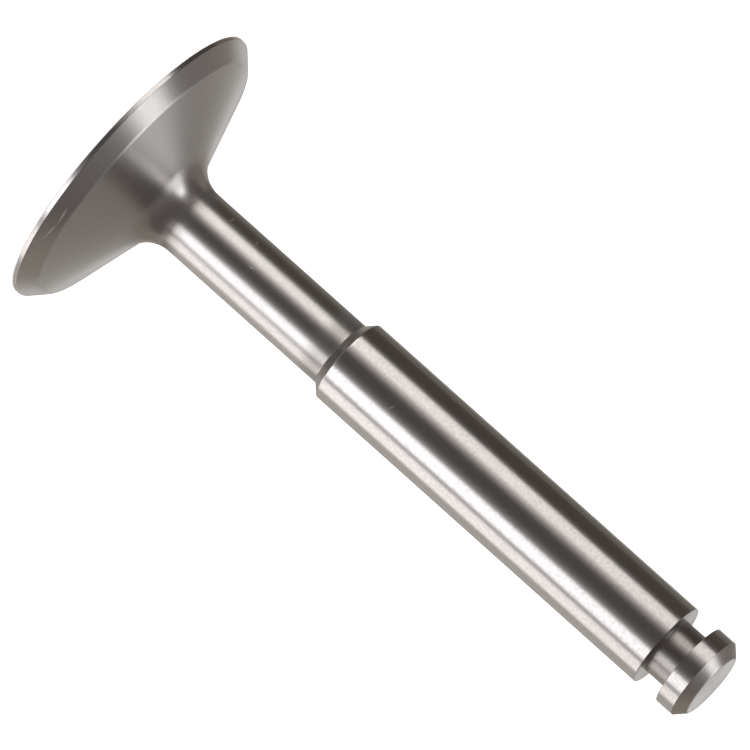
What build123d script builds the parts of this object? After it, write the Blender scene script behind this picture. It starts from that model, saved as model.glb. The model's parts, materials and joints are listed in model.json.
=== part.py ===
from build123d import *
from math import radians, tan
import os

# Engine valve: a poppet valve turned and ground in one piece from a steel forging.
# It stands on its flat head face at z = 0, with its axis on Z and the stem up. Millimetres and degrees.

# Head
head_diameter = 33.8
margin_height = 0.48  # straight rim between the head face and the seat
seat_width = 1.65  # along the radius
seat_angle = 45.0  # from the plane of the head, as are the next two
back_angle = 20.0
shoulder_angle = 45.0
underhead_radius = 3.7

# Stem: the relieved neck, the part that runs in the guide, and the tip past the keeper groove
neck_diameter = 7.55
stem_diameter = 9.5
stem_start = 30.11  # height where the guide stem has its full diameter
overall_length = 79.36
tip_diameter = 9.45
tip_length = 3.15  # from the groove to the end
tip_chamfer = 1.1

# Keeper groove, square in section
groove_diameter = 6.4
groove_width = 2.95

# Edges
edge_break = 0.05  # chamfer left by deburring the sharp corners
groove_corner_radius = 0.1
shoulder_blend_radius = 0.35

head_radius = head_diameter / 2
neck_radius = neck_diameter / 2
stem_radius = stem_diameter / 2
tip_radius = tip_diameter / 2
groove_radius = groove_diameter / 2

seat_inner_radius = head_radius - seat_width
seat_top = margin_height + seat_width * tan(radians(seat_angle))
cone_top = seat_top + (seat_inner_radius - neck_radius) * tan(radians(back_angle))
neck_top = stem_start - (stem_radius - neck_radius) * tan(radians(shoulder_angle))
tip_start = overall_length - tip_length
stem_end = tip_start - groove_width

# Corners of the half section as (radius, height), from the head face up to the end of the tip
head_corner = (head_radius, 0)
margin_corner = (head_radius, margin_height)
seat_corner = (seat_inner_radius, seat_top)
underhead_corner = (neck_radius, cone_top)
shoulder_foot = (neck_radius, neck_top)
shoulder_corner = (stem_radius, stem_start)
stem_end_corner = (stem_radius, stem_end)
groove_low_corner = (groove_radius, stem_end)
groove_high_corner = (groove_radius, tip_start)
tip_start_corner = (tip_radius, tip_start)
tip_end_corner = (tip_radius, overall_length)


def vertex_at(section, corner):
    return section.vertices().sort_by_distance(corner)[0]


with BuildPart() as valve:
    with BuildSketch(Plane.XZ) as section:
        with BuildLine():
            Polyline(
                (0, 0),
                head_corner,
                margin_corner,
                seat_corner,
                underhead_corner,
                shoulder_foot,
                shoulder_corner,
                stem_end_corner,
                groove_low_corner,
                groove_high_corner,
                tip_start_corner,
                tip_end_corner,
                (0, overall_length),
                close=True,
            )
        make_face()

        fillet(vertex_at(section, underhead_corner), underhead_radius)
        for corner in (shoulder_foot, shoulder_corner):
            fillet(vertex_at(section, corner), shoulder_blend_radius)
        for corner in (groove_low_corner, groove_high_corner):
            fillet(vertex_at(section, corner), groove_corner_radius)
        for corner in (head_corner, stem_end_corner, tip_start_corner):
            chamfer(vertex_at(section, corner), edge_break)
        chamfer(vertex_at(section, tip_end_corner), tip_chamfer)
    revolve(axis=Axis.Z)

os.makedirs("parts", exist_ok=True)
valve.part.label = "valve"
export_step(valve.part, "parts/valve.step")
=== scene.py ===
import json
from math import atan2, degrees, hypot, pi, radians, sin, tan

import bmesh
import bpy
from mathutils import Matrix, Vector


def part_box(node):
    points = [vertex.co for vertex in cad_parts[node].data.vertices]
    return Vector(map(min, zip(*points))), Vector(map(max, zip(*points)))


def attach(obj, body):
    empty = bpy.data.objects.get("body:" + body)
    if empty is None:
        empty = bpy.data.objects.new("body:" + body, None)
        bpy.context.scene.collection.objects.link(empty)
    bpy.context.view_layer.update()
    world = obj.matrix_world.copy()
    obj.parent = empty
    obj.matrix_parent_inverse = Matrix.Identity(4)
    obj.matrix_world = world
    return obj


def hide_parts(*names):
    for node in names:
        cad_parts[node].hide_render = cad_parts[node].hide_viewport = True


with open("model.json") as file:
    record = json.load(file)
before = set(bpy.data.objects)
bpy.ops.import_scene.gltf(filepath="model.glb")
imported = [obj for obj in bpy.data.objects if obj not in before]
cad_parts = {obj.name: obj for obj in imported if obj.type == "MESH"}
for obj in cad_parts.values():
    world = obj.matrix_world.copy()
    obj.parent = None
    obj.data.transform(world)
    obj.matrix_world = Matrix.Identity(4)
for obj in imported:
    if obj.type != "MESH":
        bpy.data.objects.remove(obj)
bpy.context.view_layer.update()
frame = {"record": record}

mm = 0.001


def linear(hexColour):
    # sRGB hex to the linear values that a shader socket takes
    steps = [int(hexColour[i:i + 2], 16) / 255 for i in (1, 3, 5)]
    return [c / 12.92 if c <= 0.04045 else ((c + 0.055) / 1.055) ** 2.4 for c in steps] + [1]


def addNode(tree, kind, settings={}, values={}, links={}):
    node = tree.nodes.new(kind)
    for name, value in settings.items():
        setattr(node, name, value)
    for name, value in values.items():
        node.inputs[name].default_value = value
    for name, socket in links.items():
        tree.links.new(socket, node.inputs[name])
    return node


# Heat-treated valve steel. The wheel or tool runs round the axis, so its fine lines do too, and reflections
# smear along the stem while they stay crisp across it. There is one finish for each way of working a surface,
# and grain is how much darker the steel's specks are. Lengths are in mm.
steel = {
    # Stem, margin and tip, finely ground: the brightest, with clear light stripes
    "ground": {"name": "ground_valve_steel", "colour": "#D8D6D5", "grain": 0.20, "roughness": 0.24,
               "anisotropy": 0.3, "lineSpacing": 0.10, "lineDepth": 0.0004},
    # Seat, ground with a coarser stone: its bright patch fades softly at both ends
    "seat": {"name": "ground_seat_steel", "colour": "#DBD9D8", "grain": 0.20, "roughness": 0.298,
             "anisotropy": 0.3, "lineSpacing": 0.10, "lineDepth": 0.0004},
    # Neck, ground only for a clear port: as bright as the stem, with softer stripes
    "neck": {"name": "ground_neck_steel", "colour": "#DDDBDA", "grain": 0.20, "roughness": 0.298,
             "anisotropy": 0.3, "lineSpacing": 0.10, "lineDepth": 0.0004},
    # Back cone, fillet, shoulder, groove walls and head face, as the tool left them: a satin grey
    "turned": {"name": "fine_turned_valve_steel", "colour": "#D1CECC", "grain": 0.14, "roughness": 0.31,
               "anisotropy": 0.5, "lineSpacing": 0.16, "lineDepth": 0.0005},
    # Tip chamfer: a broad soft highlight, darker where the eye meets it at a slant
    "chamfered": {"name": "chamfered_valve_steel", "colour": "#E1DEDB", "grain": 0.18, "roughness": 0.32,
                  "anisotropy": 0.3, "lineSpacing": 0.16, "lineDepth": 0.0004, "edgeTint": "#C0BCB8"},
    # Groove floor, cut with a narrow tool: greyer than the rest, partly from its own cut finish and partly as
    # painted shade from the groove's walls
    "cut": {"name": "rough_turned_steel_with_painted_groove_shade", "colour": "#BBB7B5", "grain": 0.20, "roughness": 0.33,
            "anisotropy": 0.3, "lineSpacing": 0.14, "lineDepth": 0.0002},
    # Seat's inner edge, rounded and burnished by use: a thin pale line
    "edge": {"name": "burnished_steel_edge", "colour": "#DBD9D7", "grain": 0.14, "roughness": 0.298,
             "anisotropy": 0.3, "lineSpacing": 0.10, "lineDepth": 0.0003},
}
pattern = {
    "outlineSlope": 2.0,  # height's weight against the radius, see outlineMeasure
    "streakLength": 5.0,  # how far round the part a line runs before it fades
    "grainSize": 0.3,
    "noiseRange": (0.3, 0.7),  # a noise seldom leaves it
    "glossSwing": 0.02,  # how far the roughness moves with the grain
    "smearTurn": 0.25,  # a quarter turn, so that reflections smear across the lines
    "markRoughness": 0.6,  # what the middle of a scratch adds to the roughness
}
wheelStops = {
    # Height: how dull the steel is there, from 0 to 1, and how far its edge tint turns to the one below
    "heights": {5.0: (0, 0), 6.3: (0, 1), 7.95: (0.05, 1), 8.3: (0.85, 1), 8.65: (0.72, 1),
                8.95: (0.5, 0.8), 9.55: (0.22, 0.3), 10.3: (0, 0),
                26.0: (0, 0), 26.6: (0.12, 0), 27.4: (0.48, 0), 27.9: (0.56, 0), 29.25: (0.56, 0),
                29.4: (0, 0)},
    "colour": "#8F8A85",
    "film": 0.16,  # share of dull film over bare metal at full dullness
    "edgeTint": "#D2CFCC",  # what a slanting reflection is dimmed to
}
handlingMarks = {
    # Fine scratches: degrees round from -Y and height at each end, then radius and width there,
    # and how strongly the scratch shows, from 0 to 1
    "seat": [
        ((25.4, 1.44), (36.6, 1.58), 15.9, 0.22, 0.8),
        ((34.0, 1.59), (45.0, 1.10), 16.1, 0.24, 0.8),
    ],
    "ground": [
        ((3.0, 37.65), (9.4, 37.27), 4.75, 0.16, 0.5),
    ],
    "neck": [
        ((-60.0, 12.26), (-38.0, 12.16), 3.775, 0.13, 0.7),
        ((-54.0, 15.63), (-38.0, 15.75), 3.775, 0.13, 0.7),
        ((-6.5, 16.75), (-8.7, 17.55), 3.775, 0.20, 0.7),
    ],
}


def outlineMeasure(radius, height):
    # It falls all along the outline from the head's rim to the tip, so it tells the stretches apart,
    # and in the steel's pattern it spaces the lines on every face.
    return radius - pattern["outlineSlope"] * height


def markLooks(tree, marks, split, radius, gloss, colour):
    # Each scratch is a soft, slim oval on the unrolled skin, where the steel is rougher and paler.
    turn = addNode(tree, "ShaderNodeMath", {"operation": "ARCTAN2"}, {},
                   {0: split.outputs["Y"], 1: split.outputs["X"]})
    arc = addNode(tree, "ShaderNodeMath", {"operation": "MULTIPLY"}, {},
                  {0: turn.outputs[0], 1: radius.outputs["Value"]})
    skin = addNode(tree, "ShaderNodeCombineXYZ", links={"X": arc.outputs[0], "Y": split.outputs["Z"]})
    for start, end, out, width, strength in marks:
        start, end = (Vector((radians(along - 90) * out, height)) * mm for along, height in (start, end))
        middle, reach = (start + end) / 2, end - start
        oval = addNode(tree, "ShaderNodeMapping", {"vector_type": "TEXTURE"},
                       {"Location": (*middle, 0), "Rotation": (0, 0, atan2(reach.y, reach.x)),
                        "Scale": (reach.length / 2, width / 2 * mm, 1)}, {"Vector": skin.outputs[0]})
        away = addNode(tree, "ShaderNodeVectorMath", {"operation": "LENGTH"}, links={0: oval.outputs[0]})
        share = addNode(tree, "ShaderNodeMapRange", {"interpolation_type": "SMOOTHSTEP"},
                        {"From Min": 1.0, "From Max": 0.2, "To Max": strength},
                        {"Value": away.outputs["Value"]})
        gloss = addNode(tree, "ShaderNodeMath", {"operation": "MULTIPLY_ADD"}, {1: pattern["markRoughness"]},
                        {0: share.outputs[0], 2: gloss.outputs[0]})
        colour = addNode(tree, "ShaderNodeMix", {"data_type": "RGBA"}, {7: (1, 1, 1, 1)},
                         {0: share.outputs[0], 6: colour.outputs[2]})
    return gloss, colour


def stopLooks(tree, split, colour, shader):
    # The wheel can't reach into the fillet or up to the shoulder, so the neck stays duller at both ends.
    top = max(wheelStops["heights"])
    height = addNode(tree, "ShaderNodeMath", {"operation": "DIVIDE"}, {1: top * mm}, {0: split.outputs["Z"]})
    ramp = addNode(tree, "ShaderNodeValToRGB", links={0: height.outputs[0]})
    for place, (dullness, tinting) in wheelStops["heights"].items():
        stop = ramp.color_ramp.elements.new(min(place / top, 0.999))  # just below the ramp's own last stop
        stop.color = (dullness, tinting, 0, 1)
    ramp.color_ramp.elements.remove(ramp.color_ramp.elements[-1])
    shares = addNode(tree, "ShaderNodeSeparateColor", links={0: ramp.outputs[0]})
    bare = addNode(tree, "ShaderNodeMath", {"operation": "MULTIPLY_ADD"}, {1: -wheelStops["film"], 2: 1.0},
                   {0: shares.outputs[0]})
    tint = addNode(tree, "ShaderNodeMix", {"data_type": "RGBA"},
                   {6: (1, 1, 1, 1), 7: linear(wheelStops["edgeTint"])}, {0: shares.outputs[1]})
    tree.links.new(bare.outputs[0], shader.inputs["Metallic"])
    tree.links.new(tint.outputs[2], shader.inputs["Specular Tint"])
    return addNode(tree, "ShaderNodeMix", {"data_type": "RGBA"}, {7: linear(wheelStops["colour"])},
                   {0: shares.outputs[0], 6: colour.outputs[2]})


def steelFinish(kind):
    finish = steel[kind]
    material = bpy.data.materials.new(finish["name"])
    material.use_nodes = True
    tree = material.node_tree
    shader = tree.nodes["Principled BSDF"]
    shader.inputs["Metallic"].default_value = 1.0
    shader.inputs["Anisotropic"].default_value = finish["anisotropy"]
    shader.inputs["Anisotropic Rotation"].default_value = pattern["smearTurn"]

    # Lines from turning or grinding, set out by the outline's measure
    place = addNode(tree, "ShaderNodeTexCoord").outputs["Object"]
    split = addNode(tree, "ShaderNodeSeparateXYZ", links={0: place})
    flat = addNode(tree, "ShaderNodeCombineXYZ", links={"X": split.outputs["X"], "Y": split.outputs["Y"]})
    radius = addNode(tree, "ShaderNodeVectorMath", {"operation": "LENGTH"}, links={0: flat.outputs[0]})
    along = addNode(tree, "ShaderNodeMath", {"operation": "MULTIPLY_ADD"}, {1: -pattern["outlineSlope"]},
                    {0: split.outputs["Z"], 2: radius.outputs["Value"]})
    outline = addNode(tree, "ShaderNodeCombineXYZ",
                      links={"X": split.outputs["X"], "Y": split.outputs["Y"], "Z": along.outputs[0]})
    roundScale = 1 / (pattern["streakLength"] * mm)
    acrossScale = 1 / (pattern["outlineSlope"] * finish["lineSpacing"] * mm)
    rings = addNode(tree, "ShaderNodeVectorMath", {"operation": "MULTIPLY"},
                    {1: (roundScale, roundScale, acrossScale)}, {0: outline.outputs[0]})
    lines = addNode(tree, "ShaderNodeTexNoise", {}, {"Scale": 1.0, "Detail": 3.0, "Roughness": 0.6},
                    {"Vector": rings.outputs[0]})
    bump = addNode(tree, "ShaderNodeBump", {}, {"Distance": finish["lineDepth"] * mm},
                   {"Height": lines.outputs["Fac"]})

    # Fine specks, drawn coarser than the steel's own grain so that they show
    grain = addNode(tree, "ShaderNodeTexNoise", {}, {"Scale": 1 / (pattern["grainSize"] * mm), "Detail": 2.0},
                    {"Vector": place})
    noiseLow, noiseHigh = pattern["noiseRange"]
    gloss = addNode(tree, "ShaderNodeMapRange", {},
                    {"From Min": noiseLow, "From Max": noiseHigh,
                     "To Min": finish["roughness"] - pattern["glossSwing"],
                     "To Max": finish["roughness"] + pattern["glossSwing"]}, {"Value": grain.outputs["Fac"]})
    bright = linear(finish["colour"])
    dull = [(1 - finish["grain"]) * c for c in bright[:3]] + [1]
    colour = addNode(tree, "ShaderNodeMix", {"data_type": "RGBA"}, {6: bright, 7: dull},
                     {0: grain.outputs["Fac"]})

    if "edgeTint" in finish:
        shader.inputs["Specular Tint"].default_value = linear(finish["edgeTint"])
    if kind in ("neck", "turned"):
        colour = stopLooks(tree, split, colour, shader)
    if kind in handlingMarks:
        gloss, colour = markLooks(tree, handlingMarks[kind], split, radius, gloss, colour)
    tangent = addNode(tree, "ShaderNodeTangent", {"direction_type": "RADIAL", "axis": "Z"})
    tree.links.new(gloss.outputs[0], shader.inputs["Roughness"])
    tree.links.new(colour.outputs[2], shader.inputs["Base Color"])
    tree.links.new(bump.outputs[0], shader.inputs["Normal"])
    tree.links.new(tangent.outputs[0], shader.inputs["Tangent"])
    return material


finishes = {kind: steelFinish(kind) for kind in steel}
print("steel finishes made:", ", ".join(material.name for material in finishes.values()))


# The valve, in mm and degrees. Overall sizes come from the frame.
low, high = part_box("valve")
stemMount = next(m for m in frame["record"]["mounts"] if m["name"] == "guide_stem")
valve = {
    "headDiameter": (high.y - low.y) / mm,
    "marginHeight": 0.48,
    "seatWidth": 1.65,
    "seatAngle": 45.0,
    "backAngle": 20.0,
    "underheadRadius": 3.7,
    "neckGroundFrom": 8.2,  # the wheel grinds the neck from the top of the fillet, which stays as turned
    "neckDiameter": 7.55,
    "stemDiameter": 2 * stemMount["dims"]["r_mm"],
    "stemStart": 30.11,
    "shoulderAngle": 45.0,
    "shoulderBlend": 0.35,
    "grooveDiameter": 6.4,
    "grooveWidth": 2.95,
    "grooveCorner": 0.1,
    "tipDiameter": 9.45,
    "tipLength": 3.15,
    "tipChamfer": 1.1,
    "overallLength": high.z / mm,
    "fineEdge": 0.05,
    "marginEdge": 0.08,
    "tipEdge": 0.4,
    "seatEdge": 1.0,
    "seatEdgeWidth": 0.36,  # along the outline's measure, each side of the corner
    "holdingLoop": 0.03,  # short faces beside each rounding keep the long faces' shading straight
    "facesRound": 360,
    "degreesPerFace": 4,  # along a rounding
    "leastFaces": 4,
}


def valveCorners(v):
    # Radius, height and rounding of each corner, with the finish of the stretch that leads up to it.
    head, neck, stem = v["headDiameter"] / 2, v["neckDiameter"] / 2, v["stemDiameter"] / 2
    groove, tip, top = v["grooveDiameter"] / 2, v["tipDiameter"] / 2, v["overallLength"]
    seatInner = head - v["seatWidth"]
    seatTop = v["marginHeight"] + v["seatWidth"] * tan(radians(v["seatAngle"]))
    coneTop = seatTop + (seatInner - neck) * tan(radians(v["backAngle"]))
    neckTop = v["stemStart"] - (stem - neck) * tan(radians(v["shoulderAngle"]))
    tipStart = top - v["tipLength"]
    stemEnd = tipStart - v["grooveWidth"]
    return [
        (head, 0, v["fineEdge"], "turned"),
        (head, v["marginHeight"], v["marginEdge"], "ground"),
        (seatInner, seatTop, v["seatEdge"], "seat"),
        (neck, coneTop, v["underheadRadius"], "turned"),
        (neck, neckTop, v["shoulderBlend"], "neck"),
        (stem, v["stemStart"], v["shoulderBlend"], "turned"),
        (stem, stemEnd, v["fineEdge"], "ground"),
        (groove, stemEnd, v["grooveCorner"], "turned"),
        # the groove floor, whose darker steel is partly painted shade from the groove's walls
        (groove, tipStart, v["grooveCorner"], "cut"),
        (tip, tipStart, v["fineEdge"], "turned"),
        (tip, top - v["tipChamfer"], v["fineEdge"], "ground"),
        (tip - v["tipChamfer"], top, v["tipEdge"], "chamfered"),
        (0, top, 0, "ground"),
    ]


def drawHalfSection(mesh, v, corners):
    # A pen draws the outline in the XZ plane: extrude for each straight, spin for each rounding.
    pen = mesh.verts.new((0, 0, 0))

    def lineTo(place):
        made = bmesh.ops.extrude_vert_indiv(mesh, verts=[pen])["verts"][0]
        made.co = (place.x * mm, 0, place.y * mm)
        return made

    here = Vector((0, 0))
    for index, (radius, height, rounding, finish) in enumerate(corners[:-1]):
        corner, following = Vector((radius, height)), Vector(corners[index + 1][:2])
        inward, outward = (corner - here).normalized(), (following - corner).normalized()
        turn = atan2(inward.cross(outward), inward.dot(outward))
        reach = rounding * tan(abs(turn) / 2)
        start = corner - inward * reach
        for place in (here + inward * v["holdingLoop"], start - inward * v["holdingLoop"], start):
            pen = lineTo(place)
        side = Vector((-inward.y, inward.x)) * (1 if turn > 0 else -1)
        centre = start + side * rounding
        steps = max(v["leastFaces"], round(degrees(abs(turn)) / v["degreesPerFace"]))
        made = bmesh.ops.spin(mesh, geom=[pen], cent=(centre.x * mm, 0, centre.y * mm), axis=(0, -1, 0),
                              angle=turn, steps=steps)
        pen = next(g for g in made["geom_last"] if isinstance(g, bmesh.types.BMVert))
        here = corner + outward * reach
    pen = lineTo(here + Vector((-v["holdingLoop"], 0)))
    lineTo(Vector((0, v["overallLength"])))


def finishAt(face, v, corners):
    centre = face.calc_center_median() / mm
    measure = outlineMeasure(hypot(centre.x, centre.y), centre.z)
    if centre.z < v["fineEdge"] / 2:  # the head face
        return corners[0][3]
    seatEdge = outlineMeasure(*corners[2][:2])
    if abs(measure - seatEdge) < v["seatEdgeWidth"]:
        return "edge"
    tiny = 1e-6
    found = next(finish for radius, height, rounding, finish in corners[1:]
                 if measure > outlineMeasure(radius, height) - tiny)
    return "turned" if found == "neck" and centre.z < v["neckGroundFrom"] else found


def makeValve(v):
    corners = valveCorners(v)
    mesh = bmesh.new()
    drawHalfSection(mesh, v, corners)
    bmesh.ops.spin(mesh, geom=mesh.verts[:] + mesh.edges[:], cent=(0, 0, 0), axis=(0, 0, 1), angle=2 * pi,
                   steps=v["facesRound"], use_merge=True)
    bmesh.ops.remove_doubles(mesh, verts=mesh.verts[:], dist=0.001 * mm)
    bmesh.ops.recalc_face_normals(mesh, faces=mesh.faces[:])
    kinds = list(finishes)
    for face in mesh.faces:
        face.smooth = True
        face.material_index = kinds.index(finishAt(face, v, corners))
    data = bpy.data.meshes.new("engine_valve")
    mesh.to_mesh(data)
    print("valve spun:", len(mesh.faces), "faces, closed:", all(e.is_manifold for e in mesh.edges))
    mesh.free()
    for kind in kinds:
        data.materials.append(finishes[kind])
    made = bpy.data.objects.new("engine_valve", data)
    bpy.context.scene.collection.objects.link(made)
    return made


engineValve = makeValve(valve)
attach(engineValve, "root")
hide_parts("valve")


# The studio: a pale floor, a white surround and a reflection tent that only the steel's gloss sees.
# Sizes are in metres. Directions are in degrees: round from the camera's side, where + turns towards +X,
# and above the floor.
studio = {
    "floorRadius": 3.0,
    "floorSides": 96,
    "floorColour": "#F2F2F2",
    "floorLift": 0.35,  # lets the lit floor reach white and keeps the valve's shadow
    "floorDrop": 0.01,  # mm, so that the head face isn't in the floor's own plane
    "surround": 1.0,
    "tentRadius": 1.0,
    "tentHeight": 0.04,
    "panelRows": 12,
    "panelStep": 6,  # degrees round for one face of a panel
    "fewestPanelSteps": 6,
    "stripHeight": 0.65,  # above the tent's middle
    "stripStart": (-1.05, -1.25),  # as shares of that height
    "stripEnd": (-0.08, 0.66),
    "stripWidth": 0.42,
    # From and to, as shares of the strip's length, and watts for each square metre
    "stripParts": ((0, 0.25, 4.26), (0.25, 0.5, 7.4), (0.5, 0.72, 3.7), (0.72, 1, 4.1)),
}
tentPanels = {
    # Round from and to, height from, height where the ramp starts, height to, then the colour below,
    # the colour at the top and the strength
    "floorRear": (152, 208, -45, -9, 2, "#B4B0AC", "#E6E5E3", 1),
    "flagRear": (-152, -122, -45, -8, 0, "#78726C", "#78726C", 1),
    "flagLeft": (-122, -74, -45, -8, 0, "#504A45", "#544E49", 1),
    "slopeRearLeft": (-74, -67.3, -45, -8, 0, "#645E5A", "#544E49", 1),
    "lightLeftLow": (-67.3, -35, -45, -45, -24, "#FFFAF6", "#FFFAF6", 2.4),
    "lightLeft": (-67.3, -35, -24, -4, 0, "#FFFAF6", "#746E6A", 1.43),
    "slopeLeft": (-35, -26, -45, -8, 0, "#E2DCD8", "#605A58", 1),
    "slopeFrontLeft": (-26, -17, -45, -8, 0, "#96908C", "#605A58", 1),
    "flagFront": (-17, 8, -45, -8, 0, "#575352", "#5A5452", 1),
    "flagFrontRight": (8, 17, -45, -8, 0, "#605C5C", "#5A5654", 1),
    "slopeFrontRight": (17, 26, -45, -8, 0, "#7C7878", "#605A58", 1),
    "slopeRight": (26, 33.5, -45, -8, 0, "#A29E9E", "#605A58", 1),
    "brightStrip": (33.5, 65.3, -45, -6, 0, "#FFFEFF", "#746E6E", 2.1),
    "thinFlag": (65.3, 77, -45, -8, 0, "#BAB4B4", "#605A58", 1),
    "lightRight": (77, 111, -45, -6, 0, "#FFFAF8", "#746E6A", 1.62),
    "greyRear": (111, 152, -45, -8, 0, "#C6C0BB", "#A8A29E", 1),
    "darkUnderLeft": (180, 360, -90, -90, -45, "#7A7470", "#7A7470", 1),
    "darkUnderRight": (0, 180, -90, -90, -45, "#9A948F", "#9A948F", 1),
    "flagFrontHigh": (-105, 105, 0, 0, 62, "#5C5654", "#645E5C", 1),
    "horizonRear": (172, 188, 2, 2, 18, "#FCFEFC", "#D4D1CE", 1),
    "horizonLeft": (188, 212, 2, 2, 18, "#D0CCC8", "#AAA6A2", 1),
    "horizonRight": (148, 172, 2, 2, 18, "#C8C4BE", "#A09C98", 1),
    "wallRear": (148, 212, 18, 18, 62, "#A8A4A0", "#84807C", 1),
    "sideRearLeft": (-148, -105, 0, 0, 62, "#968F8A", "#706A68", 1),
    "sideRearRight": (105, 148, 0, 0, 62, "#9E968D", "#8A827A", 1),
    "flagTop": (-180, 180, 62, 62, 90, "#706A68", "#767270", 1),
}


def panelMaterial(name, rampFrom, heightTo, footColour, topColour, strength):
    # Paper or cloth on a frame, lit more at one edge than at the other.
    material = bpy.data.materials.new(name)
    material.use_nodes = True
    tree = material.node_tree
    tree.nodes.clear()
    foot, top = (studio["tentHeight"] + studio["tentRadius"] * sin(radians(angle))
                 for angle in (rampFrom, heightTo))
    place = addNode(tree, "ShaderNodeTexCoord").outputs["Object"]
    split = addNode(tree, "ShaderNodeSeparateXYZ", links={0: place})
    share = addNode(tree, "ShaderNodeMapRange", {}, {"From Min": foot, "From Max": top},
                    {"Value": split.outputs["Z"]})
    colour = addNode(tree, "ShaderNodeMix", {"data_type": "RGBA"},
                     {6: linear(footColour), 7: linear(topColour)}, {0: share.outputs[0]})
    glow = addNode(tree, "ShaderNodeEmission", {}, {"Strength": strength}, {"Color": colour.outputs[2]})
    addNode(tree, "ShaderNodeOutputMaterial", {}, {}, {"Surface": glow.outputs[0]})
    return material


def makeTentPanel(name, roundFrom, roundTo, heightFrom, rampFrom, heightTo, *look):
    centre = (0, 0, studio["tentHeight"])
    mesh = bmesh.new()
    start = Matrix.Rotation(radians(-heightFrom), 3, "X") @ Vector((0, -studio["tentRadius"], 0))
    corner = mesh.verts.new(start + Vector(centre))
    bmesh.ops.spin(mesh, geom=[corner], cent=centre, axis=(-1, 0, 0), angle=radians(heightTo - heightFrom),
                   steps=studio["panelRows"])
    bmesh.ops.rotate(mesh, verts=mesh.verts[:], cent=centre,
                     matrix=Matrix.Rotation(radians(roundFrom), 3, "Z"))
    steps = max(studio["fewestPanelSteps"], round((roundTo - roundFrom) / studio["panelStep"]))
    bmesh.ops.spin(mesh, geom=mesh.verts[:] + mesh.edges[:], cent=centre, axis=(0, 0, 1),
                   angle=radians(roundTo - roundFrom), steps=steps)
    data = bpy.data.meshes.new(name)
    mesh.to_mesh(data)
    mesh.free()
    data.materials.append(panelMaterial(name, rampFrom, heightTo, *look))
    panel = bpy.data.objects.new(name, data)
    bpy.context.scene.collection.objects.link(panel)
    panel.visible_camera = panel.visible_diffuse = panel.visible_shadow = False
    panel.visible_transmission = panel.visible_volume_scatter = False


def makeFloor(s):
    mesh = bmesh.new()
    bmesh.ops.create_circle(mesh, cap_ends=True, segments=s["floorSides"], radius=s["floorRadius"],
                            matrix=Matrix.Translation((0, 0, -s["floorDrop"] * mm)))
    data = bpy.data.meshes.new("floor")
    mesh.to_mesh(data)
    mesh.free()
    material = bpy.data.materials.new("pale_paper_floor")
    material.use_nodes = True
    tree = material.node_tree
    tree.nodes.clear()
    paper = addNode(tree, "ShaderNodeBsdfDiffuse", {}, {"Color": linear(s["floorColour"])})
    seen = addNode(tree, "ShaderNodeLightPath")
    lift = addNode(tree, "ShaderNodeMath", {"operation": "MULTIPLY"}, {1: s["floorLift"]},
                   {0: seen.outputs["Is Camera Ray"]})
    glow = addNode(tree, "ShaderNodeEmission", {}, {}, {"Strength": lift.outputs[0]})
    both = addNode(tree, "ShaderNodeAddShader", {}, {}, {0: paper.outputs[0], 1: glow.outputs[0]})
    side = addNode(tree, "ShaderNodeNewGeometry")
    clear = addNode(tree, "ShaderNodeBsdfTransparent")
    oneSided = addNode(tree, "ShaderNodeMixShader", {}, {},
                       {0: side.outputs["Backfacing"], 1: both.outputs[0], 2: clear.outputs[0]})
    addNode(tree, "ShaderNodeOutputMaterial", {}, {}, {"Surface": oneSided.outputs[0]})
    data.materials.append(material)
    floor = bpy.data.objects.new("floor", data)
    bpy.context.scene.collection.objects.link(floor)
    floor.visible_glossy = False  # the tent is what the steel reflects


def makeSurround(s):
    world = bpy.data.worlds.new("studio")
    world.use_nodes = True
    tree = world.node_tree
    tree.nodes["Background"].inputs["Color"].default_value = (1, 1, 1, 1)
    tree.nodes["Background"].inputs["Strength"].default_value = s["surround"]
    bpy.context.scene.world = world


def makeStripLight(s, shareFrom, shareTo, glow):
    # One part of a long strip light that lies over the valve, brighter in its middle.
    ends = [Vector((x, y, 1)) * s["stripHeight"] for x, y in (s["stripStart"], s["stripEnd"])]
    start, end = (ends[0].lerp(ends[1], share) for share in (shareFrom, shareTo))
    lamp = bpy.data.lights.new("strip_light", "AREA")
    lamp.shape = "RECTANGLE"
    lamp.size = s["stripWidth"] * s["stripHeight"]
    lamp.size_y = (end - start).length
    lamp.energy = glow * lamp.size * lamp.size_y
    box = bpy.data.objects.new("strip_light", lamp)
    box.location = (start + end) / 2 + Vector((0, 0, s["tentHeight"]))
    box.rotation_euler = (0, 0, atan2(start.x - end.x, end.y - start.y))
    bpy.context.scene.collection.objects.link(box)


for name, panel in tentPanels.items():
    makeTentPanel(name, *panel)
makeFloor(studio)
makeSurround(studio)
for part in studio["stripParts"]:
    makeStripLight(studio, *part)
print("studio set:", len(tentPanels), "panels")


# The camera looks down a little on the stem's tip, turned so that the valve lies across the picture.
camera = {
    "distance": 1.396,  # metres, as are the last two
    "elevation": 11.4,
    "roll": 131.784,
    "aim": (-0.754, 0, 33.06),  # mm
    "sensor": 36.0,
    "pixelsAcross": 750,
    "pixelsPerMetre": 10031,  # at the aim
    "nearest": 0.1,
    "farthest": 20,
}


def makeCamera(c):
    data = bpy.data.cameras.new("camera")
    data.sensor_width = c["sensor"]
    data.lens = c["sensor"] * c["distance"] * c["pixelsPerMetre"] / c["pixelsAcross"]
    data.clip_start, data.clip_end = c["nearest"], c["farthest"]
    made = bpy.data.objects.new("camera", data)
    tilt = Matrix.Rotation(radians(90 - c["elevation"]), 4, "X")
    back = tilt @ Vector((0, 0, c["distance"]))
    place = Matrix.Translation(Vector(c["aim"]) * mm + back)
    made.matrix_world = place @ tilt @ Matrix.Rotation(radians(c["roll"]), 4, "Z")
    bpy.context.scene.collection.objects.link(made)
    bpy.context.scene.camera = made


makeCamera(camera)
bpy.context.scene.view_settings.view_transform = "Standard"
print("camera set")
